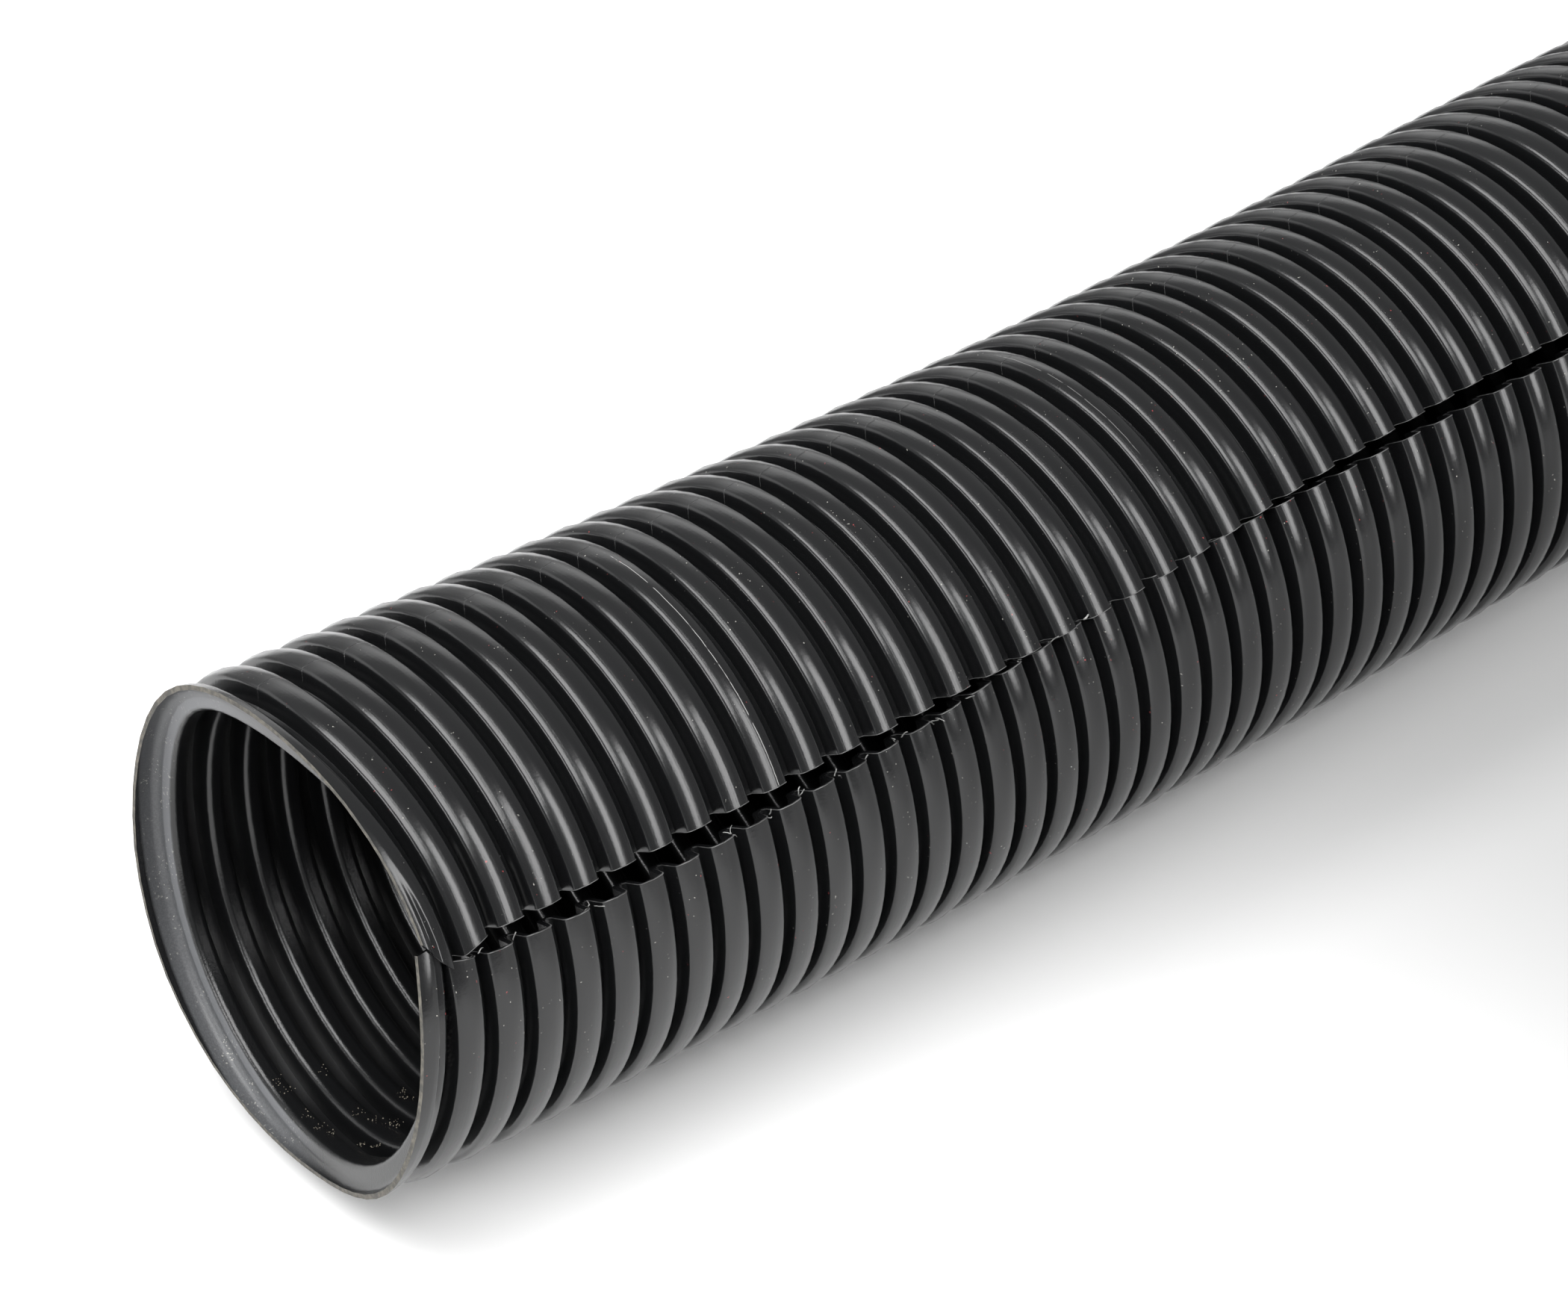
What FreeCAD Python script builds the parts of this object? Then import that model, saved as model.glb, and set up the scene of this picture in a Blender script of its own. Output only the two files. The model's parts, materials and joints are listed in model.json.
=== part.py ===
"""Split corrugated conduit: a black plastic tube with ring corrugations, slit along one side.

It is one moulded piece, cut to a length of stock. It lies on its crests on a level floor.
+X runs along the tube from the near cut end to the far one, +Z is up, and the origin is on the
floor under the middle of the tube. All sizes are in millimetres.
"""

import FreeCAD, Part
import math
import os

# The wall: the clear bore, the height of a corrugation from bore to crest, and the thickness
BORE_DIAMETER = 48.0
WAVE_DEPTH = 3.25
WALL = 0.55

# One corrugation, measured on the outside of the wall
CREST_WIDTH = 3.0
VALLEY_WIDTH = 1.14
FLANK_SLOPE_DEG = 6.0
SHOULDER_WIDTH = 0.62
SHOULDER_DROP = 0.5

# The stock: both ends are cut through the middle of a crest, so it holds whole corrugations
STOCK_LENGTH = 1000.0

# The slit: its width at the crests, and how high its middle stands above the horizontal,
# on the side that faces -Y
SLIT_WIDTH = 1.6
SLIT_HEIGHT_DEG = 27.0


def wave():
    """Radii, pitch and count of the corrugations, and each side's way down from a crest's middle.

    A way down is a list of (x, radius): the end of the crest, any shoulder, and the end of the
    flank. The inside's flank lies one wall inside the outside's, measured square to it.
    """
    crest = BORE_DIAMETER / 2 + WAVE_DEPTH
    shoulder = crest - SHOULDER_DROP
    valley = BORE_DIAMETER / 2 + WALL
    slope = math.radians(FLANK_SLOPE_DEG)

    def flank(radius, inset):
        """A point of a flank: how far it is from the middle of its crest, and its radius."""
        return CREST_WIDTH / 2 + (shoulder - radius) * math.tan(slope) - inset / math.cos(slope), radius

    outer_down = [(CREST_WIDTH / 2 - SHOULDER_WIDTH, crest), flank(shoulder, 0), flank(valley, 0)]
    inner_down = [flank(crest - WALL, WALL), flank(BORE_DIAMETER / 2, WALL)]
    pitch = 2 * outer_down[-1][0] + VALLEY_WIDTH
    return {
        "crest_radius": crest,
        "outer_down": outer_down,
        "inner_down": inner_down,
        "pitch": pitch,
        "count": round(STOCK_LENGTH / pitch),
    }


def profile(down, pitch, count):
    """Points (x, radius) of one side of the wall, from the first crest's middle to the last's."""
    up = [(pitch - x, radius) for x, radius in reversed(down)]
    crest_radius = down[0][1]
    points = [(0.0, crest_radius)]
    for ring in range(count):
        points += [(ring * pitch + x, radius) for x, radius in down + up]
    points.append((count * pitch, crest_radius))
    return points


def wall_section():
    """The cut through one side of the tube, as a face in the X-Z plane."""
    w = wave()
    outer = profile(w["outer_down"], w["pitch"], w["count"])
    inner = profile(w["inner_down"], w["pitch"], w["count"])
    loop = outer + inner[::-1] + outer[:1]
    return Part.Face(Part.makePolygon([FreeCAD.Vector(x, 0, radius) for x, radius in loop]))


def conduit():
    """The wall's section turned round the tube's axis, from one lip of the slit to the other."""
    w = wave()
    along = FreeCAD.Vector(1, 0, 0)
    origin = FreeCAD.Vector(0, 0, 0)
    slit_angle = math.degrees(2 * math.asin(SLIT_WIDTH / 2 / w["crest_radius"]))
    turn = 360 - slit_angle
    tube = wall_section().revolve(origin, along, turn)
    # The section starts straight up. It is turned to the slit's upper lip, on the -Y side.
    upper_lip = 90 - SLIT_HEIGHT_DEG - slit_angle / 2
    tube.rotate(origin, along, upper_lip - turn)
    tube.translate(FreeCAD.Vector(-w["count"] * w["pitch"] / 2, 0, w["crest_radius"]))
    return tube


def main():
    os.makedirs("parts", exist_ok=True)
    shape = conduit()
    shape.exportStep("parts/conduit.step")
    w = wave()
    print("solids", len(shape.Solids), "faces", len(shape.Faces), "volume", round(shape.Volume, 1))
    print("corrugations", w["count"], "pitch", round(w["pitch"], 4))
    print("length", round(w["count"] * w["pitch"], 3), "outside", 2 * w["crest_radius"])


main()
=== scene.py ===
"""Looks of a slit corrugated conduit: a black plastic tube with ring corrugations and a slit.

It is one moulded piece. Its near end is a little bent, as in the photograph, with the slit's lips gaping,
slipped past each other and lapping where they nearly meet. Lengths are in metres and angles in degrees
where nothing else is said. +X runs along the tube, +Z is up, and the origin is on the floor under its
middle.
"""

import json
import math

import bpy
import numpy as np
from mathutils import Matrix, Vector


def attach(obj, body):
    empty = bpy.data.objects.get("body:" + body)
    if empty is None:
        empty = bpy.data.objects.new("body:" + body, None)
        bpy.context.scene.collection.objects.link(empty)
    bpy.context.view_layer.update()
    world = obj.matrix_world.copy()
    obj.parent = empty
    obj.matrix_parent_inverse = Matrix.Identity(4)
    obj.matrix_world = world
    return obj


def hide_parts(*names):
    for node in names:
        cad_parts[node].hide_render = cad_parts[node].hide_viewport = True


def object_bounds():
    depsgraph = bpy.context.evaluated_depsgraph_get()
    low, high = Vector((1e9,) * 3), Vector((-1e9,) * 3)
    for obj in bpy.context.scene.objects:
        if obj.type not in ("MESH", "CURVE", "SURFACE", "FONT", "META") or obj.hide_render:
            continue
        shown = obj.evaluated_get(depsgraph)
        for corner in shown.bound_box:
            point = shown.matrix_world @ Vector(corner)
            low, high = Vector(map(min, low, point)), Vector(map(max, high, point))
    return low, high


bl_info = {
    "name": "Slit corrugated conduit",
    "version": (1, 0, 0),
    "blender": (4, 5, 0),
    "location": "View3D > Sidebar > Conduit",
    "description": "Builds a slit corrugated conduit with its lips, burrs, dust and studio stage",
    "category": "Add Mesh",
}

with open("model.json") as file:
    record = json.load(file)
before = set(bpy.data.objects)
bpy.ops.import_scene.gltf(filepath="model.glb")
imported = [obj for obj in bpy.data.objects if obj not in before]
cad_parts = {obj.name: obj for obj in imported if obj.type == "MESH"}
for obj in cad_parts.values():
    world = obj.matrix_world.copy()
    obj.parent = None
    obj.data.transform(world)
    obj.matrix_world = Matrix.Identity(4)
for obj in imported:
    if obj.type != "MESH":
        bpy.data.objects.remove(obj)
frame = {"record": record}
CAD_LOW, CAD_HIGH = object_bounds()
MM = 0.001
MOUNTS = {mount["name"]: mount for mount in frame["record"]["mounts"]}

# The middle and last ring measured in the photograph, and where their lean and slip have died away
SEEN_MIDDLE_RING = 14.5
SEEN_LAST_RING = 31.0
STRAIGHT_FROM_RING = 130.0

# The far edge of the first crest, in mm past the mouth's middle
FIRST_EDGE = 1.324

# A ring's shift, its lean towards +Y and +Z and its slip from lip to lip, in mm along the tube, as
# polynomials in u, which is -1 at the first ring and 0 at the middle one
SHIFT = (-0.299, -0.299, -0.367)
LEAN_SIDE = (-0.035, -0.595, -0.929, 0.838, -0.057)
LEAN_UP = (-0.072, 1.181, 2.367, -0.438, -0.049)
SLIP = (6.779, 8.438, 0.649, -3.969, -0.400)
# Cosine and sine terms of one, two and three waves round the mouth in mm, and the rings that they fade in
MOUTH_WAVES = ((1.27, -1.17), (0.85, -0.99), (0.02, 0.62))
MOUTH_FADE_RINGS = 2.5
# The first ring sits further along at its lower lip: mm, and the degrees and rings that it fades in
LOWER_PULL = 1.1
LOWER_PULL_REACH = 14.0
LOWER_PULL_RINGS = 0.8
# All rings sit further along below the slit: mm, and the degrees from the lower lip where it fades
LOWER_SHIFT = 0.35
LOWER_SHIFT_FADE = (60.0, 140.0)
# Bumps round the first rings, along the tube and of its radius: height in mm, middle and half width in
# degrees, and the rings that they fade in
MOUTH_PUSH = (-0.8, -35.0, 55.0, 2.0)
MOUTH_SQUASH = (-1.1, -112.0, 32.0, 2.0)
# What the cut left of the first crest before its far edge, in mm: the mean, waves and a bump round it, how
# much it wavers, and the least and the most
CREST_LEFT = 2.16
CREST_LEFT_WAVES = ((0.42, -0.21), (0.86, -0.55))
CREST_MORE = (0.4, -70.0, 30.0, 1.0)
CUT_ROUGHNESS = 0.05
CUT_WAVES = 40
CUT_SEED = 3
CREST_LEFT_LIMITS = (0.9, 3.6)
# How the cut half of the first crest drops, in mm per square mm from its middle
CUT_CREST_DROP = 0.11
# Its creases: middle, half width and depth in mm from its far edge, and the angles where they begin and
# are deepest
CREASES = (
    (-1.72, 0.45, 0.42, 132.0, 153.0),
    (-0.80, 0.25, 0.30, -165.0, -188.0),
)

# The middle line's curvature towards +Y and +Z in 1/m, as polynomials in v, which is -1 at the mouth and 0
# at BEND_MIDDLE mm. It holds up to BEND_END, and the line is straight again at BEND_BACK. The slope TIP
# brings it down to the floor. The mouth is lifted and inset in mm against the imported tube's
BEND_SIDE = (-0.2405, -1.0404, 0.1236)
BEND_UP = (1.0335, 1.110, -0.3352)
BEND_MIDDLE = 70.0
BEND_END = 165.0
BEND_BACK = 430.0
TIP = 0.05
MOUTH_LIFT = 3.42
MOUTH_INSET = 0.89
# The line's steps, and how far it goes on past the tube's ends, in mm
LINE_STEP = 0.5
LINE_MARGIN = 20.0

# The lips: (ring, angle of the upper lip, angle of the lower lip) in degrees from +Y over +Z
LIPS = (
    (-1.0, 141.0, 150.5),
    (-0.33, 148.5, 151.5),
    (0.33, 157.0, 151.7),
    (0.67, 155.4, 155.0),
    (1.0, 154.2, 156.0),
    (3.0, 153.1, 157.2),
    (6.0, 152.2, 157.3),
    (10.0, 151.0, 155.7),
    (14.0, 150.0, 153.4),
    (17.0, 149.0, 150.6),
    (20.0, 147.5, 148.0),
    (24.0, 144.4, 146.0),
    (28.0, 142.9, 146.2),
    (34.0, 143.5, 147.5),
    (60.0, 148.5, 152.0),
    (100.0, 151.3, 154.7),
    (220.0, 151.3, 154.7),
)
# The lap of the lips: (ring, mm that the upper one stands out and the lower one in), and the degrees that
# it fades in
LAPS = (
    (0.0, 0.35), (2.0, 0.0), (14.0, 0.0), (19.0, 0.18), (24.0, 0.18), (30.0, 0.05), (60.0, 0.0),
    (220.0, 0.0),
)
LAP_REACH = 14.0
# The angle of the slit's middle, from which the slip is measured: (ring, degrees)
SLIT_ANGLES = (
    (0.0, 157.0), (5.0, 158.0), (10.0, 156.5), (18.0, 152.7), (24.0, 149.5), (29.0, 147.5),
    (220.0, 153.0),
)

# The mesh: rings with all the columns, those drawn finely outside and inside, the columns behind them, how
# many of the others go to one of these, and the rows of the cut crest
SEEN_RINGS = 46
FINE_OUTSIDE_RINGS = 23
FINE_INSIDE_RINGS = 30
COARSE_COLUMNS = 20
COLUMN_RATIO = 3
MOUTH_ROWS = 16
# Steps of a ring's shoulders and roots, and if its crest has a middle point. Inside, of its lands and roof.
# The exact ones give the first ring's radii
FINE_OUTSIDE = (4, 1, True)
MIDDLE_OUTSIDE = (3, 0, True)
PLAIN_OUTSIDE = (1, 0, False)
EXACT_OUTSIDE = (30, 2, True)
FINE_INSIDE = (3, 0)
PLAIN_INSIDE = (0, 0)
MOUTH_INSIDE = (4, 5)
EXACT_INSIDE = (4, 20)
# By what share the columns are closer at the lips, and what tells an edge from a curve
LIP_CROWDING = 0.30
SHARP_ANGLE = math.radians(40.0)
# Rounding of the bore's lands and of the first ring's roof, and a land's first flat point past its arc,
# in mm
LAND_ROUND = 0.70
ROOF_ROUND = 1.00
LAND_INSET = 0.10
# The materials of the tube and of the burrs, by their places in the list
OUTSIDE, CUT, INSIDE = 0, 1, 2
RIDGE, WHISKER = 0, 1

# Burrs: the rings and the offsets in mm that have them, their width in degrees, their lines past the lip
# as shares of it, their height in mm and the shares that it varies between, and their last line's depth
BURR_RINGS = 44
BURR_SPAN = (-4.0, 0.3)
BURR_WIDTH = 0.09
BURR_LINES = (-1.0, 0.6, 0.9)
BURR_HEIGHT = 0.035
BURR_VARIES = (0.4, 1.6)
BURR_TUCK = 0.2
# Whiskers: the most at a ring of the lower lip, the rings, their length and radius in mm and their steps
WHISKERS_EACH = 3
WHISKER_RINGS = 20
WHISKER_LENGTH = (0.5, 1.5)
WHISKER_RADIUS = 0.055
WHISKER_STEPS = 6
# Where they start, as an offset and a depth in mm, and where they head
WHISKER_ROOT = (-0.5, 0.6)
WHISKER_DEPTH = 0.7
WHISKER_HEADING = (0.4, -0.3, 0.9)
WHISKER_SCATTER = (1.0, 0.6, 0.6)
WHISKER_WANDER = 0.45
BURR_SEED = 11

# Grit in the mouth: (angle in degrees, mm from the mouth), the grains at each place, how far they scatter
# and their size in mm, and how much their corners vary
GRIT_PLACES = (
    (-95, 1.0), (-99, 1.3), (-89, 1.1), (-112, 2.1), (-116, 2.6), (-106, 6.8), (-109, 6.8), (-96, 5.3),
    (-101, 5.8), (-78, 1.0), (-75, 1.1), (-77, 5.8), (-95, 10.7), (-98, 10.4),
)
GRIT_EACH = 10
GRIT_SCATTER = 0.40
GRIT_SIZE = (0.03, 0.09)
GRIT_UNEVEN = (0.5, 1.2)
GRIT_SEED = 5
# Degrees in a radian, rounded
RADIAN_DEGREES = 57.3

# Noises: scale in 1/m, detail and roughness. Streaks and wander are read on tube_place, with its rings,
# degrees and mm stretched
NOISES = {
    "streaks": (1.0, 2.0, 0.5),
    "wander": (1.0, 3.0, 0.6),
    "grain": (2600.0, 3.0, 0.6),
    "cloud": (90.0, 3.0, 0.55),
    "bore grain": (5200.0, 2.0, 0.6),
    "grit tone": (4000.0, 1.0, 0.5),
    "cut grain": (1500.0, 4.0, 0.65),
}
STREAK_STRETCH = (22.0, 0.012, 0.3)
WANDER_STRETCH = (0.0, 0.09, 0.0)
# Patches: a noise's numbers, and the values between which they come in
PATCHES = {
    "specks": (3400.0, 1.0, 0.4, 0.76, 0.785),
    "clusters": (160.0, 2.0, 0.5, 0.46, 0.60),
    "shoulder grit": (3600.0, 1.0, 0.5, 0.60, 0.68),
    "red specks": (2300.0, 1.0, 0.4, 0.79, 0.80),
    "scratch breaks": (700.0, 2.0, 0.6, 0.36, 0.5),
    "bore specks": (3400.0, 1.0, 0.4, 0.66, 0.72),
    "bore clusters": (260.0, 2.0, 0.5, 0.48, 0.6),
    "torn tone": (900.0, 2.0, 0.6, 0.35, 0.65),
}
# Radii in mm between which the crests begin, the bore's flanks, and its roof
CREST_FROM = (26.2, 26.8)
FLANK_FROM = (24.3, 24.6)
ROOF_FROM = (25.5, 25.9)
# Grit on the shoulders below the slit: middle, half width and fade in rings, and where it comes in
SHOULDER_GRIT = (0.41, 0.03, 0.04)
SHOULDER_GRIT_FROM = (-168.0, -180.0)
# Dust and painted light inside the first ring: where they begin, are full, fade and end, in rings and
# degrees
HAZE_AND_FLANK_LIGHT_RINGS = (-0.30, -0.20, 0.25, 0.33)
HAZE_AND_FLANK_LIGHT_ANGLES = (-110.0, -80.0, 55.0, 110.0)
# The least of it on the roof, and the values of the grain between which it gets full
HAZE_LEAST = 0.7
HAZE_GRAIN_FROM = (0.35, 0.7)

# Scratches: (place along in rings, strength from 0 to 1, first and last angle)
SCRATCHES = ((9.08, 1.0, 86.0, 150.0), (20.95, 0.35, 76.0, 118.0))
# Their half width and fade and their wandering in rings, and the degrees that their ends fade in
SCRATCH_WIDTH = (0.005, 0.007)
SCRATCH_WANDER = 0.05
SCRATCH_END = 4.0
# The moulding seam: its angle, half width and fade in degrees
SEAM = (78.0, 0.08, 0.12)
# How much of the colour below is covered
DUST_COVER = 0.6
RED_COVER = 0.7
SCRATCH_COVER = 0.7
BORE_SPECK_COVER = 0.5
# Relief of the outside, as shares of RELIEF in m, and the rings between which the streaks' comes in
STREAK_RELIEF = 0.45
GRAIN_RELIEF = 0.35
SEAM_RELIEF = 1.5
STREAK_RELIEF_FROM = (0.0, 0.3)
RELIEF = 0.00004
RELIEF_STRENGTH = 0.6
# Values of a cut face's grain between which it turns pale, and its relief in m and with what strength
CUT_PALE_FROM = (0.35, 0.7)
CUT_RELIEF = (0.0001, 0.8)

# The photograph's camera from the mouth's middle, before the tip and the lift: its place in mm, how far it
# turns from +Y to +X and looks down, and its lens and sensor in mm
CAMERA_PLACE = (-141.18, -266.10, 239.63)
CAMERA_TURN = 37.318
CAMERA_DOWN = 34.631
CAMERA_LENS = 88.99
CAMERA_SENSOR = 36.0
# Half the floor's width in m
FLOOR_HALF = 3.0
# Where the floor changes to its painted shade, in m from the mouth along the tube, where it changes back in
# m of x, and where the painted shade begins and is full in m across
FLOOR_SHADE = (0.02, 0.15)
FLOOR_SHADE_BACK = (0.0, 0.35)
FLOOR_SHADE_ACROSS = (0.0, -0.03)
# Where the floor is painted darker behind the tube, beyond the picture, as painted shade
FLOOR_SHADE_BEHIND = (0.30, 0.75)

# The softboxes: place in m from the mouth, what the width runs along, and size in m
OVERHEAD = ((-0.28, -0.15, 0.87), (1.0, 0.0, 0.0), (0.66, 1.20))
STRIP = ((0.36, -0.68, 0.45), (1.0, 0.0, 0.0), (0.30, 0.71))
SIDE = ((-0.80, 0.05, 0.30), (0.0, 1.0, 0.0), (0.45, 0.34))
# The room's brighter patch, by the +Z and the +Y part of the direction: where it begins, is full, fades and
# ends. Then the +Y parts between which the room dims
PATCH_HEIGHT = (0.0, 0.25, 0.47, 0.575)
PATCH_BEHIND = (0.50, 0.70, 0.82, 0.95)
FRONT_DIMS = (0.3, -0.5)


def polynomial(terms, x):
    """Sum of each term times x to its place in the row."""
    return sum(term * x**power for power, term in enumerate(terms))


def waves(terms, angle):
    """Sum of a cosine and a sine part for one wave round the tube, two waves, and so on."""
    total = 0.0
    for count, (cosine, sine) in enumerate(terms, 1):
        total = total + cosine * np.cos(count * angle) + sine * np.sin(count * angle)
    return total


def bump(shape, angle, ring):
    """Height times exp(-(way from the middle / half width)^2 - ring / fade)."""
    height, middle, half, fade = shape
    return height * np.exp(-(((angle - middle) / half) ** 2) - ring / fade)


def ease(x):
    """0 before 0, 1 after 1, and 3x^2 - 2x^3 between."""
    x = np.clip(x, 0.0, 1.0)
    return x * x * (3.0 - 2.0 * x)


def through(x, points):
    """Cubic Hermite curve through (x, y) points; the slope at each is the mean of its two sides'."""
    px, py = np.array(points, float).T
    slope = np.gradient(py, px)
    i = np.clip(np.searchsorted(px, x) - 1, 0, len(px) - 2)
    step = px[i + 1] - px[i]
    t = np.clip((x - px[i]) / step, 0.0, 1.0)
    start = (1 + 2 * t) * (1 - t) ** 2 * py[i] + t * (1 - t) ** 2 * step * slope[i]
    end = t * t * (3 - 2 * t) * py[i + 1] + t * t * (t - 1) * step * slope[i + 1]
    return start + end


class Bent:
    """The bent tube's middle line and the place of any point of its wall. All lengths in mm."""

    def __init__(self, length, pitch, crest_radius, crest_width):
        self.pitch = pitch
        self.crest_width = crest_width
        self.s = np.arange(-LINE_MARGIN, length + LINE_MARGIN, LINE_STEP)
        v = (self.s - BEND_MIDDLE) / BEND_MIDDLE
        slopes = []
        for bend, tip, lift in ((BEND_SIDE, 0.0, 0.0), (BEND_UP, TIP, MOUTH_LIFT)):
            slope = np.cumsum(polynomial(bend, v)) * LINE_STEP * MM
            slope -= np.interp(0.0, self.s, slope)
            slopes.append(self.settle(slope, tip, lift))
        along = np.stack([np.ones_like(self.s), *slopes], 1)
        self.along = along / np.linalg.norm(along, axis=1, keepdims=True)
        middle = np.cumsum(self.along, axis=0) * LINE_STEP
        middle -= [np.interp(0.0, self.s, middle[:, k]) for k in range(3)]
        middle[:, 2] += crest_radius + MOUTH_LIFT
        middle[:, 0] += MOUTH_INSET - length / 2
        self.middle = middle

    def settle(self, slope, tip, lift):
        """The slope less the tip up to BEND_END, then that of a cubic that ends level on the axis."""
        slope = slope - tip
        height = np.cumsum(slope) * LINE_STEP
        height += lift - np.interp(0.0, self.s, height)
        h = BEND_BACK - BEND_END
        y0 = np.interp(BEND_END, self.s, height)
        d0 = np.interp(BEND_END, self.s, slope)
        t = np.clip((self.s - BEND_END) / h, 0.0, 1.0)
        back = y0 * (6 * t * t - 6 * t) / h + d0 * (1 - 4 * t + 3 * t * t)
        return np.where(self.s > BEND_END, np.where(t < 1.0, back, 0.0), slope)

    def ring_edge(self, ring, angle):
        """How far along the far edge of a ring's crest lies, in mm.

        The pitch times the ring's number, plus the ring's shift, its lean as a cosine and a sine of
        the angle and its slip as a straight share of the way from lip to lip, plus what the mouth adds:
        its waves, the pull at the lower lip and a bump, which fade exponentially from ring to ring.
        """
        a = np.radians(angle)
        u = (np.minimum(ring, SEEN_LAST_RING) - SEEN_MIDDLE_RING) / SEEN_MIDDLE_RING
        share = (angle - through(ring, SLIT_ANGLES)) / 360.0 + 0.5
        bent = (
            polynomial(SHIFT, u)
            + polynomial(LEAN_SIDE, u) * np.cos(a)
            + polynomial(LEAN_UP, u) * np.sin(a)
            + polynomial(SLIP, u) * share
        )
        fade = 1.0 - ease((ring - SEEN_LAST_RING) / (STRAIGHT_FROM_RING - SEEN_LAST_RING))
        mouth = np.exp(-ring / MOUTH_FADE_RINGS) * waves(MOUTH_WAVES, a)
        from_lip = (share + 0.5) * 360.0
        pull = LOWER_PULL * np.exp(-ring / LOWER_PULL_RINGS - from_lip / LOWER_PULL_REACH)
        lower = LOWER_SHIFT * (1.0 - ease((from_lip - LOWER_SHIFT_FADE[0]) / np.ptp(LOWER_SHIFT_FADE)))
        push = bump(MOUTH_PUSH, angle, ring)
        return FIRST_EDGE + self.pitch * ring + (bent + lower) * fade + mouth + pull + push

    def place(self, s, angle, radius):
        """Point at s along the middle line, at an angle from +Y over +Z and a radius square to the line."""
        middle = np.stack([np.interp(s, self.s, self.middle[:, k]) for k in range(3)], -1)
        along = np.stack([np.interp(s, self.s, self.along[:, k]) for k in range(3)], -1)
        along /= np.linalg.norm(along, axis=-1, keepdims=True)
        side = np.stack([-along[..., 1], along[..., 0], np.zeros_like(along[..., 0])], -1)
        side /= np.linalg.norm(side, axis=-1, keepdims=True)
        up = np.cross(along, side)
        a = np.radians(angle)[..., None]
        return middle + radius[..., None] * (np.cos(a) * side + np.sin(a) * up)


class Wall:
    """The wall's section: how its outside and inside rise and fall over one ring, in mm.

    A ring's points are offsets from the far edge of its crest, from the valley in front to the one
    behind. Each half is a low crown, a shoulder arc, a leaning flank, and a small arc into the valley.
    """

    def __init__(self, sizes):
        self.crest = sizes.crest_radius / MM
        self.bore = sizes.bore_radius / MM
        self.wall = sizes.wall / MM
        self.width = sizes.crest_width / MM
        self.crown = sizes.crown_radius / MM
        self.shoulder = sizes.shoulder_radius / MM
        self.lean = sizes.flank_lean
        self.root = sizes.valley_radius / MM
        # How far from its corner an arc begins, as a share of its radius
        self.cut = math.tan((math.pi / 2 - self.lean) / 2)

    def flank(self, radius):
        """How far from the crest's middle the outside of the flank is, at a radius."""
        return self.width / 2 + (self.crest - self.wall - radius) * math.tan(self.lean)

    def shoulder_centre(self):
        """Centre of the shoulder's arc, which touches the flank and the crown's arc from inside."""
        slope, reach, base = math.tan(self.lean), self.crown - self.shoulder, self.crest - self.crown
        side = self.width / 2 + (self.crest - self.wall) * slope - self.shoulder / math.cos(self.lean)
        # The centre is at x = side - slope * y, and at reach from the crown's centre (0, base)
        square, line = slope**2 + 1, side * slope + base
        y = (line + math.sqrt(line**2 - square * (side**2 + base**2 - reach**2))) / square
        return side - slope * y, y

    def crown_turn(self):
        """How far the crown's arc turns from the top of the crest to where the shoulder begins."""
        x, y = self.shoulder_centre()
        return math.atan2(x, y - self.crest + self.crown)

    def arc(self, centre, size, outward, steps, crown_turn=0.0):
        """Points of an outward arc from the end of the crown or roof to the flank, or of an inward one from
        the flank to the valley or the land.
        """
        start = math.pi / 2 - crown_turn if outward else self.lean
        turn = np.linspace(start, self.lean if outward else math.pi / 2, steps + 1)
        sign = 1.0 if outward else -1.0
        return [(centre[0] + sign * size * np.cos(b), centre[1] + sign * size * np.sin(b)) for b in turn]

    def outside(self, shoulder_steps, root_steps, middle):
        """(offset, radius) of the outside of one ring, with or without a point on its crest's middle."""
        valley = self.bore + self.wall
        half = [(0.0, self.crest)] if middle else []
        half += self.arc(self.shoulder_centre(), self.shoulder, True, shoulder_steps, self.crown_turn())
        if root_steps:
            centre = self.flank(valley) + self.root * self.cut, valley + self.root
            half += self.arc(centre, self.root, False, root_steps)
        else:
            half.append((self.flank(valley), valley))
        return self.mirrored(half, middle)

    def cut_radius(self, profile, offset, depth):
        """Radius of the first ring at a depth: its cut half drops with the square of the way from its
        middle, and behind that it is the profile's.
        """
        way = offset + self.width / 2
        near = self.crest - CUT_CREST_DROP * way**2 - depth
        return np.where(way < 0.0, near, np.interp(offset, *profile.T))

    def inside(self, land_steps, roof_steps):
        """(offset, radius) of the inside of one ring, whose lands are the bore."""
        lean_wall = self.wall / math.cos(self.lean)
        roof, corner = self.crest - self.wall, self.flank(self.bore) - lean_wall
        side = self.flank(roof) - lean_wall
        if roof_steps:
            centre = side - ROOF_ROUND * self.cut, roof - ROOF_ROUND
            half = self.arc(centre, ROOF_ROUND, True, roof_steps)
        else:
            half = [(side, roof)]
        if land_steps:
            land = corner + LAND_ROUND * self.cut
            half += self.arc((land, self.bore + LAND_ROUND), LAND_ROUND, False, land_steps)
            half.append((land + LAND_INSET, self.bore))
        else:
            half.append((corner, self.bore))
        return self.mirrored(half, False)

    def mirrored(self, half, middle):
        """Both halves of a ring, in order along the tube, as offsets from the far edge of the crest."""
        near = [(-x, radius) for x, radius in reversed(half)]
        both = near + (half[1:] if middle else half)
        return np.array([(x - self.width / 2, radius) for x, radius in both])


def lip_angles(ring):
    """Angle of the upper lip and of the lower lip at a place along the tube, counted in rings."""
    rings, upper, lower = np.array(LIPS).T
    return through(ring, list(zip(rings, upper))), through(ring, list(zip(rings, lower)))


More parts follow.
